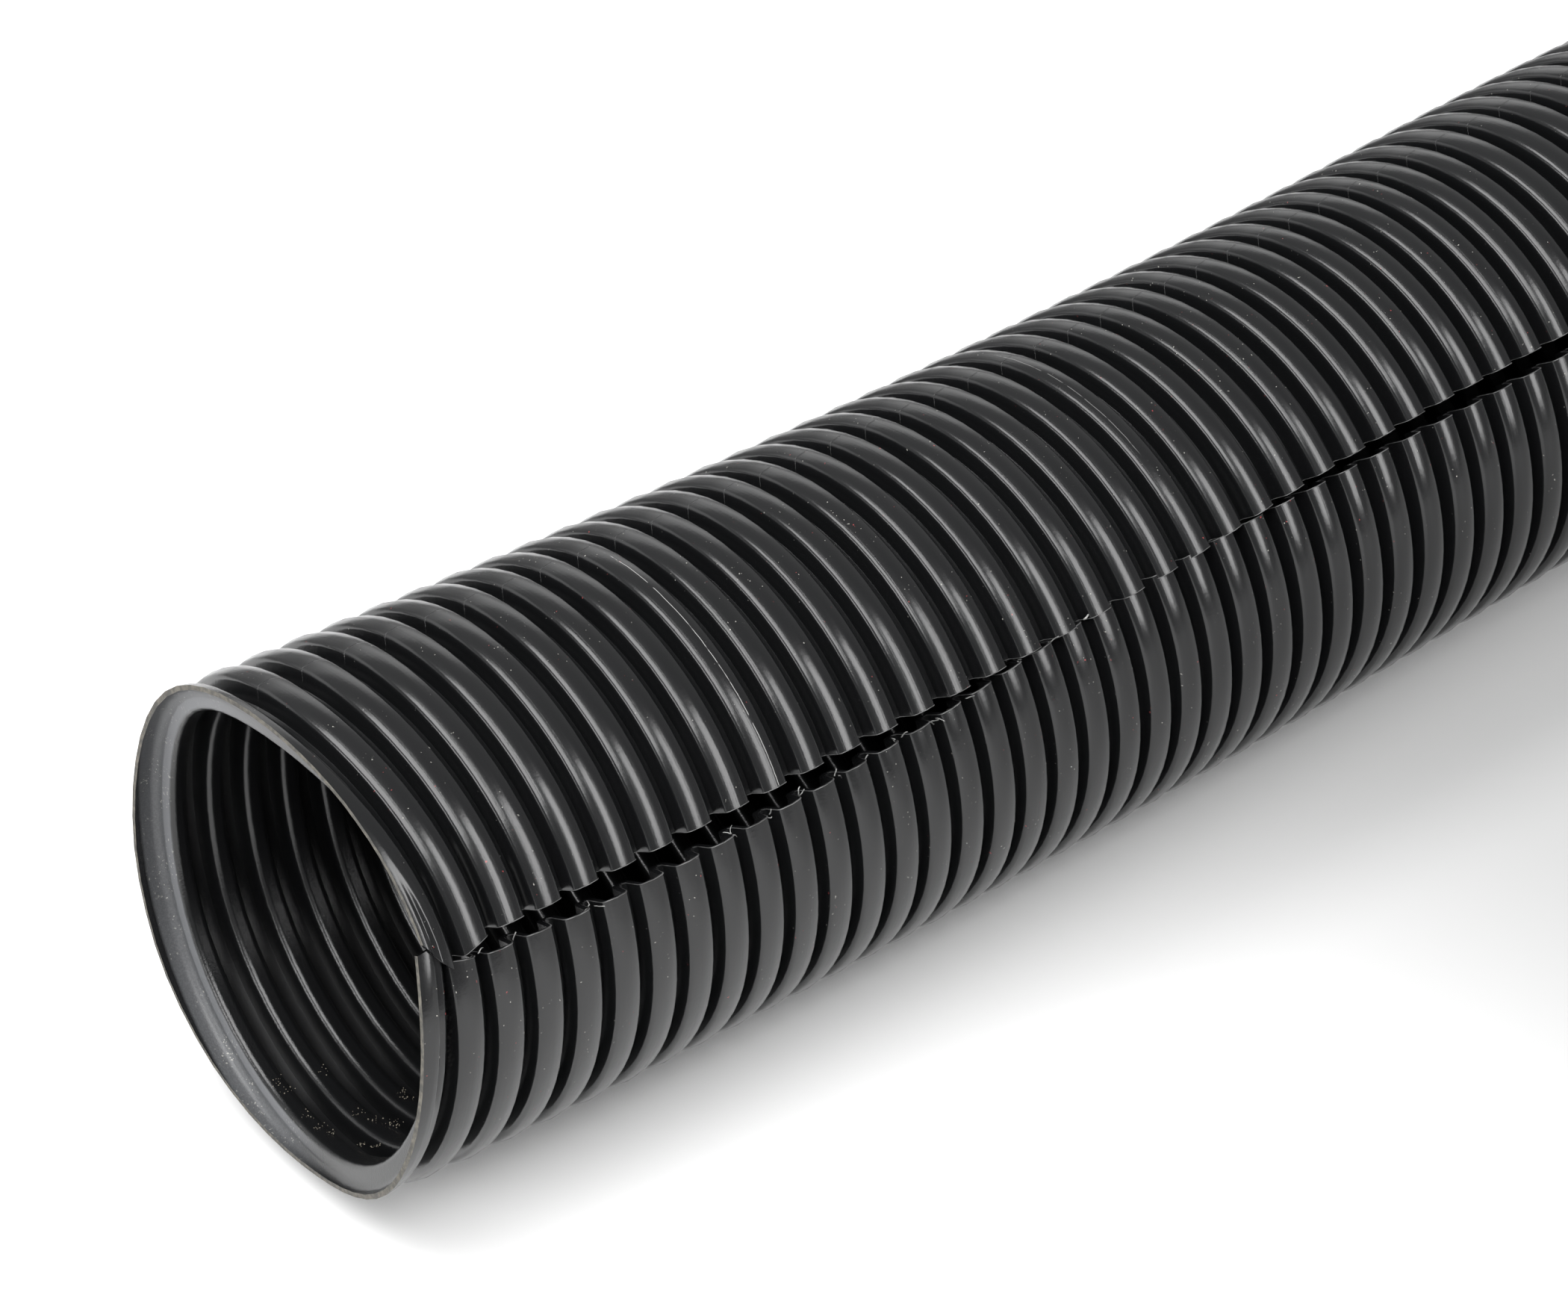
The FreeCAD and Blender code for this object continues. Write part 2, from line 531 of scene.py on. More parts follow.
def wall_points(bent, rows, share):
    """Points of the wall and where each is: (ring, angle, radius).

    rows is (ring number, offset, radius) and share runs from 0 at the lower lip to 1 at the upper lip.
    Offset and radius may change round the tube. A point's angle is that share of the way round, and
    its distance along is the ring's far crest edge there plus the offset.
    """
    ring, offset, radius = (np.broadcast_to(part, (len(rows[0]), len(share))) for part in rows)
    at = ring + (offset + bent.crest_width / 2) / bent.pitch
    upper, lower = lip_angles(at)
    angle = lower - 360.0 + share * (360.0 - lower + upper)
    lap = through(at, LAPS)
    near_upper = np.exp(-(1.0 - share) * 360.0 / LAP_REACH)
    near_lower = np.exp(-share * 360.0 / LAP_REACH)
    lifted = radius + lap * (near_upper - near_lower) + bump(MOUTH_SQUASH, angle, np.maximum(at, 0.0))
    points = bent.place(bent.ring_edge(ring, angle) + offset, angle, lifted)
    return points, np.stack([at, angle, radius], -1)


def quads(index):
    """Four-sided faces over a grid of point numbers, facing away from row x column."""
    return np.stack([index[:-1, :-1], index[:-1, 1:], index[1:, 1:], index[1:, :-1]], -1).reshape(-1, 4)


def ring_rows(first, last, profile):
    """Rows of (ring, offset, radius) that repeat one ring's profile."""
    rings = np.repeat(np.arange(first, last), len(profile))
    offset = np.tile(profile[:, 0], last - first)
    radius = np.tile(profile[:, 1], last - first)
    return [rings[:, None].astype(float), offset[:, None], radius[:, None]]


def plain_rows(last, profile, radius, wall):
    """Rows of the rings behind the seen ones, up to the cut at that radius through the last crest."""
    keep = profile[profile[:, 0] < -wall.width / 2]
    offset = np.append(keep[:, 0], -wall.width / 2)[:, None]
    radii = np.append(keep[:, 1], radius)[:, None]
    cut = [np.full((len(offset), 1), float(last)), offset, radii]
    return joined(ring_rows(SEEN_RINGS, last, profile), cut)


def mouth_rows(profile, left, split):
    """The first ring's rows, whose radii are filled in later: evenly spread from the cut to split, then
    its profile's offsets behind that.

    left is how much of the crest is left in front of its far edge at each share of the way round.
    """
    behind = profile[profile[:, 0] > split, 0][:, None] * np.ones(len(left))
    share = np.linspace(0.0, 1.0, MOUTH_ROWS)[:, None]
    offset = np.concatenate([-left + share[:-1] * (split + left), behind])
    return [np.zeros((len(offset), 1)), offset, np.zeros_like(offset)]


def creased(rows, angle):
    """The first ring's rows with its creases: smooth dents that deepen towards a lip."""
    ring, offset, radius = rows
    for middle, half, depth, shallow, deep in CREASES:
        across = ease(1.0 - np.abs(offset - middle) / half)
        radius = radius - depth * across * ease((angle - shallow) / (deep - shallow))
    return [ring, offset, radius]


def joined(*blocks):
    """Row blocks one behind another, each filled out to the same number of columns."""
    columns = max(part.shape[1] for block in blocks for part in block)
    return [
        np.concatenate([np.broadcast_to(block[k], (len(block[0]), columns)) for block in blocks])
        for k in range(3)
    ]


def smooth_noise(share, waves_round, seed):
    """Cosines of random phase and of random size from 0.3 to 1, whose sum is scaled to stay within 1."""
    rng = np.random.default_rng(seed)
    count = np.arange(1, waves_round + 1)
    size, phase = rng.uniform(0.3, 1.0, waves_round), rng.uniform(0.0, 2 * np.pi, waves_round)
    total = (size * np.cos(2 * np.pi * count * share[:, None] + phase)).sum(1)
    return total / size.sum()


def make_piece(name, points, faces, place=None):
    """A mesh object at the origin from points in mm, if need be with each point's place on the tube."""
    mesh = bpy.data.meshes.new(name)
    mesh.from_pydata((np.asarray(points) * MM).tolist(), [], faces)
    if place is not None:
        layer = mesh.attributes.new("tube_place", "FLOAT_VECTOR", "POINT")
        layer.data.foreach_set("vector", np.asarray(place, np.float32).ravel())
    mesh.shade_smooth()
    mesh.validate()
    piece = bpy.data.objects.new(name, mesh)
    bpy.context.scene.collection.objects.link(piece)
    return piece


def bent_tube(sizes):
    """The tube's middle line, for the sizes that the panel holds."""
    length = (CAD_HIGH.x - CAD_LOW.x) / MM
    return Bent(length, length / sizes.rings, sizes.crest_radius / MM, sizes.crest_width / MM)


def cut_mouth(wall, share):
    """The first ring's rows, outside and inside, with the cut through its crest and its creases.

    What is left of the crest is a mean plus waves, a bump and noise round the tube, held within limits.
    """
    angle = lip_angles(np.zeros(1))[1][0] - 360.0 + share * 360.0
    wavering = CUT_ROUGHNESS * smooth_noise(share, CUT_WAVES, CUT_SEED)
    left = CREST_LEFT + waves(CREST_LEFT_WAVES, np.radians(angle)) + wavering
    left = np.clip(left + bump(CREST_MORE, angle, 0.0), *CREST_LEFT_LIMITS)
    split = -wall.width / 4
    outside = mouth_rows(wall.outside(*FINE_OUTSIDE), left, split)
    inside = mouth_rows(wall.inside(*MOUTH_INSIDE), left, split)
    outside[2] = wall.cut_radius(wall.outside(*EXACT_OUTSIDE), outside[1], 0.0)
    inside[2] = wall.cut_radius(wall.inside(*EXACT_INSIDE), inside[1], wall.wall)
    return creased(outside, angle), creased(inside, angle)


def lip_faces(index, rings, column):
    """One many-sided face for each ring, across the wall at a lip, between outside and inside."""
    outside = np.concatenate([index[0][:, column], index[2][:, column]])
    inside = np.concatenate([index[1][:, column], index[3][:, column]])
    out_ring, in_ring = np.concatenate([rings[0], rings[2]]), np.concatenate([rings[1], rings[3]])
    found = []
    for ring in range(out_ring.max() + 1):
        out_at, in_at = np.flatnonzero(out_ring == ring), np.flatnonzero(in_ring == ring)
        out_line = outside[out_at[0] : out_at[-1] + 2]
        in_line = inside[in_at[0] : in_at[-1] + 2]
        face = [*in_line.tolist(), *out_line[::-1].tolist()]
        found.append(face[::-1] if column == 0 else face)
    return found


def numbered(grids):
    """The points of all the grids one after another, and each grid's point numbers."""
    index, start = [], 0
    for grid in grids:
        count = grid.shape[0] * grid.shape[1]
        index.append(start + np.arange(count).reshape(grid.shape[:2]))
        start += count
    return np.concatenate([grid.reshape(-1, 3) for grid in grids]), index


def slit_tube_mesh(sizes):
    """The whole tube as one closed skin.

    Its outside and inside are grids of the wall's section against the share of the way from lip to lip.
    Behind the seen stretch fewer columns go on. The lips are closed ring by ring, and the two cut ends
    by a strip from the outside to the inside. Also gives each point's place and each face's material.
    """
    wall, bent = Wall(sizes), bent_tube(sizes)
    fine = np.linspace(0.0, 1.0, COLUMN_RATIO * COARSE_COLUMNS + 1)
    fine = fine - LIP_CROWDING * np.sin(2 * np.pi * fine) / (2 * np.pi)
    coarse = fine[::COLUMN_RATIO]
    out_mouth, in_mouth = cut_mouth(wall, fine)
    out_near = joined(
        out_mouth,
        ring_rows(1, FINE_OUTSIDE_RINGS, wall.outside(*FINE_OUTSIDE)),
        ring_rows(FINE_OUTSIDE_RINGS, SEEN_RINGS, wall.outside(*MIDDLE_OUTSIDE)),
    )
    in_near = joined(
        in_mouth,
        ring_rows(1, FINE_INSIDE_RINGS, wall.inside(*FINE_INSIDE)),
        ring_rows(FINE_INSIDE_RINGS, SEEN_RINGS, wall.inside(*PLAIN_INSIDE)),
    )
    out_back = plain_rows(sizes.rings, wall.outside(*PLAIN_OUTSIDE), wall.crest, wall)
    in_back = plain_rows(sizes.rings, wall.inside(*PLAIN_INSIDE), wall.crest - wall.wall, wall)

    blocks = [(out_near, fine), (in_near, fine), (out_back, coarse), (in_back, coarse)]
    grids, places = zip(*[wall_points(bent, rows, share) for rows, share in blocks])
    rings = [rows[0][:, 0].astype(int) for rows, share in blocks]
    points, index = numbered(grids)
    out_near, in_near, out_back, in_back = index

    skin = [
        (quads(out_near), OUTSIDE),
        (quads(out_back), OUTSIDE),
        (quads(in_near)[:, ::-1], INSIDE),
        (quads(in_back)[:, ::-1], INSIDE),
        (quads(np.stack([in_near[0], out_near[0]])), CUT),
        (quads(np.stack([out_back[-1], in_back[-1]])), CUT),
    ]
    faces = np.concatenate([part for part, slot in skin]).tolist()
    slots = np.concatenate([np.full(len(part), slot) for part, slot in skin])
    for near, back, flip in ((out_near[-1], out_back[0], False), (in_near[-1], in_back[0], True)):
        for k in range(len(back) - 1):
            across = near[COLUMN_RATIO * k : COLUMN_RATIO * (k + 1) + 1]
            face = [*across.tolist(), int(back[k + 1]), int(back[k])]
            faces.append(face[::-1] if flip else face)
    for column in (0, -1):
        faces += lip_faces(index, rings, column)
    slots = np.append(slots, np.full(len(faces) - len(slots), OUTSIDE))
    return points, faces, numbered(places)[0], slots


def ribbon_faces(index):
    """Faces of a closed ribbon with capped ends. Its grid has rows round it and columns along it."""
    sides = quads(np.vstack([index, index[:1]]))[:, ::-1].tolist()
    return sides + [index[::-1, 0].tolist(), index[:, -1].tolist()]


def lip_burrs_mesh(sizes):
    """A low wavering ridge along each lip's edge, ring by ring, and fine whiskers at the lower lip.

    A ridge is three lines: one on the outside just short of the lip, a crest past it whose height
    varies, and one below. A whisker is a thin three-sided thread that wanders. Also gives each face's
    material.
    """
    wall, bent = Wall(sizes), bent_tube(sizes)
    rng = np.random.default_rng(BURR_SEED)
    profile = wall.outside(*FINE_OUTSIDE)
    profile = profile[(profile[:, 0] > BURR_SPAN[0]) & (profile[:, 0] < BURR_SPAN[1])]
    grids, slots = [], []
    for ring in range(1, BURR_RINGS):
        for lip, side in ((1, 1.0), (0, -1.0)):
            height = BURR_HEIGHT * rng.uniform(*BURR_VARIES, len(profile))
            rise = np.stack([np.zeros_like(height), height, np.full_like(height, -BURR_TUCK)])
            beyond = np.array(BURR_LINES)[:, None] * BURR_WIDTH * side
            grid = lip_points(bent, ring, profile[:, 0], profile[:, 1] + rise, lip, beyond)
            grids.append(grid if side > 0 else grid[::-1])
            slots.append(RIDGE)
    depth = np.array([wall.crest - WHISKER_DEPTH])
    for ring in range(1, WHISKER_RINGS):
        for count in range(rng.integers(0, WHISKERS_EACH + 1)):
            root = lip_points(bent, ring, np.array([rng.uniform(*WHISKER_ROOT)]), depth, 0, 0.0)[0]
            heading = rng.normal(size=3) * WHISKER_SCATTER + WHISKER_HEADING
            turns = np.cumsum(rng.normal(size=(WHISKER_STEPS, 3)) * WHISKER_WANDER, axis=0) + heading
            turns /= np.linalg.norm(turns, axis=1, keepdims=True)
            way = np.cumsum(turns, axis=0) * rng.uniform(*WHISKER_LENGTH) / WHISKER_STEPS
            first = np.cross(turns[0], (0.0, 1.0, 0.0))
            second = np.cross(turns[0], (1.0, 0.0, 0.0))
            around = np.stack([first, second, -first - second])
            grids.append((root + way)[None] + WHISKER_RADIUS * around[:, None])
            slots.append(WHISKER)
    points, index = numbered(grids)
    ribbons = [ribbon_faces(numbers) for numbers in index]
    face_slots = [slot for slot, ribbon in zip(slots, ribbons) for face in ribbon]
    return points, [face for ribbon in ribbons for face in ribbon], face_slots


def lip_points(bent, ring, offset, radius, lip, beyond):
    """Points at a lip of one ring: lip 1 is the upper one, and beyond is in degrees past its edge."""
    at = ring + (offset + bent.crest_width / 2) / bent.pitch
    edge = lip_angles(at)[1 - lip] - (0.0 if lip else 360.0)
    lap = through(at, LAPS) * (1.0 if lip else -1.0)
    angle, radius = np.broadcast_arrays(edge + beyond, radius + lap)
    return bent.place(bent.ring_edge(float(ring), angle) + offset, angle, radius)


def mouth_grit_mesh(sizes):
    """Grains of grit: small uneven octahedra, half sunk, scattered round each place on the bore."""
    wall, bent = Wall(sizes), bent_tube(sizes)
    rng = np.random.default_rng(GRIT_SEED)
    corners = np.array([(1, 0, 0), (0, 1, 0), (-1, 0, 0), (0, -1, 0), (0, 0, 1), (0, 0, -1)], float)
    sides = [(0, 1, 4), (1, 2, 4), (2, 3, 4), (3, 0, 4), (1, 0, 5), (2, 1, 5), (3, 2, 5), (0, 3, 5)]
    places = np.repeat(np.array(GRIT_PLACES, float), GRIT_EACH, axis=0)
    per_degree = sizes.bore_radius / MM / RADIAN_DEGREES
    places += rng.normal(size=places.shape) * GRIT_SCATTER / np.array([per_degree, 1.0])
    squash = bump(MOUTH_SQUASH, places[:, 0], np.maximum(places[:, 1] / bent.pitch, 0.0))
    middle = bent.place(places[:, 1], places[:, 0], wall.bore + squash)
    size = rng.uniform(*GRIT_SIZE, len(places))[:, None, None]
    size = size * rng.uniform(*GRIT_UNEVEN, (len(places), len(corners), 1))
    points = middle[:, None] + corners * size
    starts = range(0, len(corners) * len(places), len(corners))
    faces = [[start + corner for corner in side] for start in starts for side in sides]
    return points.reshape(-1, 3), faces


class Wire:
    """An output of a shader node. Arithmetic on it adds Math nodes to its material."""

    def __init__(self, sheet, socket):
        self.sheet = sheet
        self.socket = socket

    def math(self, operation, *values):
        return self.sheet.node("ShaderNodeMath", {"operation": operation}, dict(enumerate(values)))

    def __add__(self, other):
        return self.math("ADD", self, other)

    def __sub__(self, other):
        return self.math("SUBTRACT", self, other)

    def __rsub__(self, other):
        return self.math("SUBTRACT", other, self)

    def __mul__(self, other):
        return self.math("MULTIPLY", self, other)

    __radd__ = __add__
    __rmul__ = __mul__

    def ramp(self, low, high):
        """0 below low, 1 above high, eased between. With low above high it falls instead."""
        ends = {"From Min": min(low, high), "From Max": max(low, high)}
        ends.update({"To Min": float(low > high), "To Max": float(low < high)})
        settings = {"interpolation_type": "SMOOTHSTEP", "data_type": "FLOAT"}
        return self.sheet.node("ShaderNodeMapRange", settings, {"Value": self, **ends})

    def hill(self, foot, full, fall, end):
        """0 up to foot, 1 from full to fall and 0 from end on, eased between."""
        return self.ramp(foot, full) * self.ramp(end, fall)

    def band(self, middle, half, soft):
        """1 within half of middle, falling to 0 over soft on each side."""
        away = self.math("ABSOLUTE", self - middle)
        return away.ramp(half + soft, half)


class Sheet:
    """The nodes of a material or a world."""

    def __init__(self, owner):
        owner.use_nodes = True
        self.owner = owner
        self.tree = owner.node_tree
        self.shader = self.tree.nodes.get("Principled BSDF") or self.tree.nodes["Background"]

    def node(self, kind, settings=None, inputs=None, output=0):
        """A node of that type with its settings, then the values or links of its sockets."""
        made = self.tree.nodes.new(kind)
        for name, value in (settings or {}).items():
            setattr(made, name, value)
        for name, value in (inputs or {}).items():
            self.feed(made.inputs[name], value)
        return Wire(self, made.outputs[output])

    def feed(self, socket, value):
        if isinstance(value, Wire):
            self.tree.links.new(value.socket, socket)
        else:
            socket.default_value = value

    def finish(self, **inputs):
        """Feeds the shader; a name's underscores are spaces."""
        for name, value in inputs.items():
            self.feed(self.shader.inputs[name.replace("_", " ")], value)
        return self.owner

    def spot(self):
        """Object coordinates."""
        return self.node("ShaderNodeTexCoord", output=3)

    def place(self):
        """The point's place on the tube, as a vector of ring, angle and radius."""
        return self.node("ShaderNodeAttribute", {"attribute_name": "tube_place"}, output=1)

    def parts(self, vector):
        """The three parts of a vector."""
        split = self.node("ShaderNodeSeparateXYZ", {}, {0: vector}).socket.node
        return [Wire(self, output) for output in split.outputs]

    def blend(self, factor, first, second):
        """A colour from first to second."""
        inputs = {0: factor, 6: first, 7: second}
        return self.node("ShaderNodeMix", {"data_type": "RGBA"}, inputs, output=2)

    def noise(self, vector, scale, detail, roughness):
        """Noise from 0 to 1, mostly near a half."""
        inputs = {"Vector": vector, "Scale": scale, "Detail": detail, "Roughness": roughness}
        return self.node("ShaderNodeTexNoise", {"normalize": True}, inputs)

    def patches(self, vector, name):
        """1 in the patches of that name and 0 between them."""
        scale, detail, roughness, low, high = PATCHES[name]
        return self.noise(vector, scale, detail, roughness).ramp(low, high)

    def stretched(self, vector, scale):
        """The vector, times a factor for each of its parts."""
        return self.node("ShaderNodeVectorMath", {"operation": "MULTIPLY"}, {0: vector, 1: scale})

    def bump(self, height, distance, strength):
        """A normal bent by a height, whose 1 is distance high."""
        inputs = {"Height": height, "Distance": distance, "Strength": strength}
        return self.node("ShaderNodeBump", {}, inputs)


def tone(colour, share=1.0):
    """A colour with alpha, made darker or lighter by a share."""
    return *[part * share for part in colour], 1.0


def scratches(sheet, ring, angle, place, spot):
    """Thin wandering lines round part of a ring, broken up by noise: 1 where the scratch is full."""
    wander = sheet.noise(sheet.stretched(place, WANDER_STRETCH), *NOISES["wander"]) * SCRATCH_WANDER
    marks = 0.0
    for at, strength, first, last in SCRATCHES:
        line = (ring + wander).band(at, *SCRATCH_WIDTH) * strength
        marks = marks + line * angle.band((first + last) / 2, (last - first) / 2, SCRATCH_END)
    return marks * sheet.patches(spot, "scratch breaks")


def conduit_plastic(finish):
    """Black plastic with a satin sheen: drawn streaks, fine grain, a moulding seam, dust and scratches."""
    sheet = Sheet(bpy.data.materials.new("conduit_plastic"))
    place, spot = sheet.place(), sheet.spot()
    ring, angle, radius = sheet.parts(place)
    streaks = sheet.noise(sheet.stretched(place, STREAK_STRETCH), *NOISES["streaks"])
    grain = sheet.noise(spot, *NOISES["grain"])
    cloud = sheet.noise(spot, *NOISES["cloud"])

    on_crest = radius.ramp(*CREST_FROM)
    clusters = sheet.patches(spot, "clusters")
    on_shoulder = ring.band(*SHOULDER_GRIT) * angle.ramp(*SHOULDER_GRIT_FROM)
    specks = sheet.patches(spot, "specks") * on_crest
    dust = specks * clusters + sheet.patches(spot, "shoulder grit") * on_shoulder
    red = sheet.patches(spot, "red specks") * clusters * on_crest
    marks = scratches(sheet, ring, angle, place, spot)

    base = sheet.blend(cloud, tone(finish.plastic), tone(finish.plastic, share=1.35))
    base = sheet.blend(dust * DUST_COVER, base, tone(finish.dust))
    base = sheet.blend(red * RED_COVER, base, tone(finish.red_dust))
    base = sheet.blend(marks * SCRATCH_COVER, base, tone(finish.scratch))
    height = streaks * ring.ramp(*STREAK_RELIEF_FROM) * STREAK_RELIEF + grain * GRAIN_RELIEF
    height = height - angle.band(*SEAM) * SEAM_RELIEF
    return sheet.finish(
        Base_Color=base,
        Roughness=0.16 + streaks * 0.09 + dust * 0.4,
        Normal=sheet.bump(height, RELIEF, RELIEF_STRENGTH),
        IOR=1.5,
    )


def bore_plastic(finish):
    """The inside of the wall: black plastic, with pale dust, specks and painted light in the first ring."""
    sheet = Sheet(bpy.data.materials.new("bore_plastic"))
    spot = sheet.spot()
    ring, angle, radius = sheet.parts(sheet.place())
    grain = sheet.noise(spot, *NOISES["bore grain"])
    haze_and_flank_light = ring.hill(*HAZE_AND_FLANK_LIGHT_RINGS) * angle.hill(*HAZE_AND_FLANK_LIGHT_ANGLES)
    uneven = HAZE_LEAST + grain.ramp(*HAZE_GRAIN_FROM) * (1.0 - HAZE_LEAST)
    roof = haze_and_flank_light * radius.ramp(*ROOF_FROM) * uneven
    # Painted light: the first ring's inner flank is painted lighter, for the light that falls on it from
    # the mouth
    flank = haze_and_flank_light * radius.hill(*FLANK_FROM, *ROOF_FROM)
    specks = haze_and_flank_light * sheet.patches(spot, "bore specks") * sheet.patches(spot, "bore clusters")
    base = sheet.blend(roof, tone(finish.plastic), tone(finish.haze_and_flank_light))
    # Painted light on the first ring's inner flank, 1.45 times as light as the dust
    base = sheet.blend(flank, base, tone(finish.haze_and_flank_light, share=1.45))
    base = sheet.blend(specks * BORE_SPECK_COVER, base, tone(finish.dust))
    return sheet.finish(
        Base_Color=base,
        Roughness=0.25 + (roof + flank) * 0.24,
        Normal=sheet.bump(grain, RELIEF, RELIEF_STRENGTH),
        IOR=1.5,
    )


def torn_plastic(name, colour):
    """Thin torn plastic, pale in places."""
    sheet = Sheet(bpy.data.materials.new(name))
    pale = sheet.patches(sheet.spot(), "torn tone")
    base = sheet.blend(pale, tone(colour, share=0.3), tone(colour))
    return sheet.finish(Base_Color=base, Roughness=0.40)


def grit_grain(finish):
    """Pale golden grit, no two grains quite alike."""
    sheet = Sheet(bpy.data.materials.new("grit_grain"))
    pale = sheet.noise(sheet.spot(), *NOISES["grit tone"])
    base = sheet.blend(pale, tone(finish.grit, share=0.5), tone(finish.grit))
    return sheet.finish(Base_Color=base, Roughness=0.6)


def cut_wall(finish):
    """The rough, pale face where the wall was cut through."""
    sheet = Sheet(bpy.data.materials.new("cut_wall"))
    grain = sheet.noise(sheet.spot(), *NOISES["cut grain"])
    base = sheet.blend(grain.ramp(*CUT_PALE_FROM), tone(finish.cut_dark), tone(finish.cut))
    return sheet.finish(Base_Color=base, Roughness=0.6 + grain * 0.2, Normal=sheet.bump(grain, *CUT_RELIEF))


def pale_floor(look):
    """A matte floor, pale round the mouth, and painted shade: greyer further along in front, dark far
    behind.
    """
    sheet = Sheet(bpy.data.materials.new("pale_floor"))
    along, across, _ = sheet.parts(sheet.spot())
    fade = [CAD_LOW.x + way for way in FLOOR_SHADE]
    # Painted shade: the floor is darker further along in front of the tube, and darker still far behind
    far = along.hill(*fade, *FLOOR_SHADE_BACK) * across.ramp(*FLOOR_SHADE_ACROSS)
    base = sheet.blend(far, tone(look.floor), tone(look.floor_painted_shade))
    base = sheet.blend(across.ramp(*FLOOR_SHADE_BEHIND), base, tone(look.floor_painted_shade, share=0.5))
    return sheet.finish(Base_Color=base, Roughness=0.7)


def studio_room(look):
    """An even dim room with one brighter patch low behind the tube. It is dimmer towards -Y."""
    sheet = Sheet(bpy.data.worlds.new("studio"))
    _, behind, height = sheet.parts(sheet.node("ShaderNodeTexCoord"))
    patch = height.hill(*PATCH_HEIGHT) * behind.hill(*PATCH_BEHIND)
    strength = look.zenith + (look.horizon - look.zenith) * patch
    strength = strength * (1.0 - (1.0 - look.front_share) * behind.ramp(*FRONT_DIMS))
    return sheet.finish(Color=(1.0, 1.0, 1.0, 1.0), Strength=strength)


def metres(name, description, default):
    """A length that a user may change, in metres."""
    return bpy.props.FloatProperty(
        name=name, description=description, default=default, unit="LENGTH", precision=5)


def paint(name, description, default):
    """A colour that a user may change."""
    return bpy.props.FloatVectorProperty(
        name=name, description=description, default=default, subtype="COLOR", min=0.0, max=1.0)


def amount(name, description, default):
    """A radiance that a user may change."""
    return bpy.props.FloatProperty(name=name, description=description, default=default, min=0.0)


class TubeSizes(bpy.types.PropertyGroup):
    """Sizes of the tube's wall and its corrugations."""

    crest_radius: metres(
        "Crest radius", "Radius of the outside of the rings", MOUNTS["crests"]["dims"]["r_mm"] * MM)
    bore_radius: metres("Bore radius", "Radius of the clear bore", MOUNTS["bore"]["dims"]["r_mm"] * MM)
    wall: metres("Wall", "Thickness of the wall", 0.00055)
    rings: bpy.props.IntProperty(
        name="Rings", description="Whole corrugations along the tube", default=217, min=60)
    crest_width: metres("Crest width", "Width of a ring's crest", 0.0030)
    crown_radius: metres("Crown radius", "Rounding of a crest's top across the ring", 0.0032)
    shoulder_radius: metres("Shoulder radius", "Rounding of a crest's edges", 0.00062)
    valley_radius: metres("Valley radius", "Rounding at the foot of a flank", 0.00035)
    flank_lean: bpy.props.FloatProperty(
        name="Flank lean", description="Lean of a ring's flanks from square", default=math.radians(6.0),
        subtype="ANGLE")


class Finish(bpy.types.PropertyGroup):
    """Colours of the tube."""

    plastic: paint("Plastic", "The moulded plastic", (0.0046, 0.0048, 0.0051))
    dust: paint("Dust", "Specks of pale dust", (0.42, 0.41, 0.37))
    red_dust: paint("Red dust", "A few reddish specks", (0.30, 0.05, 0.05))
    scratch: paint("Scratch", "The pale bottom of a scratch", (0.40, 0.40, 0.39))
    burr: paint("Burr", "Plastic that went pale where it was cut", (0.10, 0.10, 0.10))
    whisker: paint("Whisker", "Threads of torn plastic at the lower lip", (0.36, 0.36, 0.35))
    grit: paint("Grit", "Grains of grit inside the mouth", (0.36, 0.32, 0.25))
    # Pale dust inside the mouth; 1.45 times as light, it is also painted light on the first ring's inner
    # flank
    haze_and_flank_light: paint("Haze", "The dusty haze inside the mouth", (0.074, 0.076, 0.080))
    cut: paint("Cut wall", "The pale grain of a cut face", (0.11, 0.10, 0.08))
    cut_dark: paint("Cut wall, dark", "The dark grain of a cut face", (0.03, 0.028, 0.024))


class StageLook(bpy.types.PropertyGroup):
    """The floor and the light."""

    floor: paint("Floor", "The pale floor", (0.76, 0.76, 0.76))
    # Painted shade on the floor further along in front, and at half of it far behind
    floor_painted_shade: paint("Far floor", "The floor further along the tube", (0.36, 0.36, 0.36))
    horizon: amount("Horizon", "Radiance of the room's lower part behind the tube", 1.5)
    zenith: amount("Zenith", "Radiance of the room overhead", 0.45)
    front_share: bpy.props.FloatProperty(
        name="Front share", description="How bright the room is on the -Y side, as a share of the other",
        default=0.7, min=0.0, max=1.0)
    overhead: amount("Overhead light", "Radiance of the overhead softbox", 7.5)
    strip: amount("Strip light", "Radiance of the tall softbox in front", 8.0)
    side: amount("Side light", "Radiance of the softbox that looks into the mouth", 7.0)


class CONDUIT_OT_tube(bpy.types.Operator):
    """Build the slit tube and let it stand for the plain one"""

    bl_idname = "conduit.tube"
    bl_label = "Slit tube"

    def execute(self, context):
        sizes, finish = context.scene.tube_sizes, context.scene.tube_finish
        points, faces, places, slots = slit_tube_mesh(sizes)
        tube = make_piece("slit_tube", points, faces, places)
        for make in (conduit_plastic, cut_wall, bore_plastic):
            tube.data.materials.append(make(finish))
        tube.data.polygons.foreach_set("material_index", slots.astype(np.int32))
        tube.data.set_sharp_from_angle(angle=SHARP_ANGLE)
        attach(tube, "root")
        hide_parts("conduit")
        return {"FINISHED"}


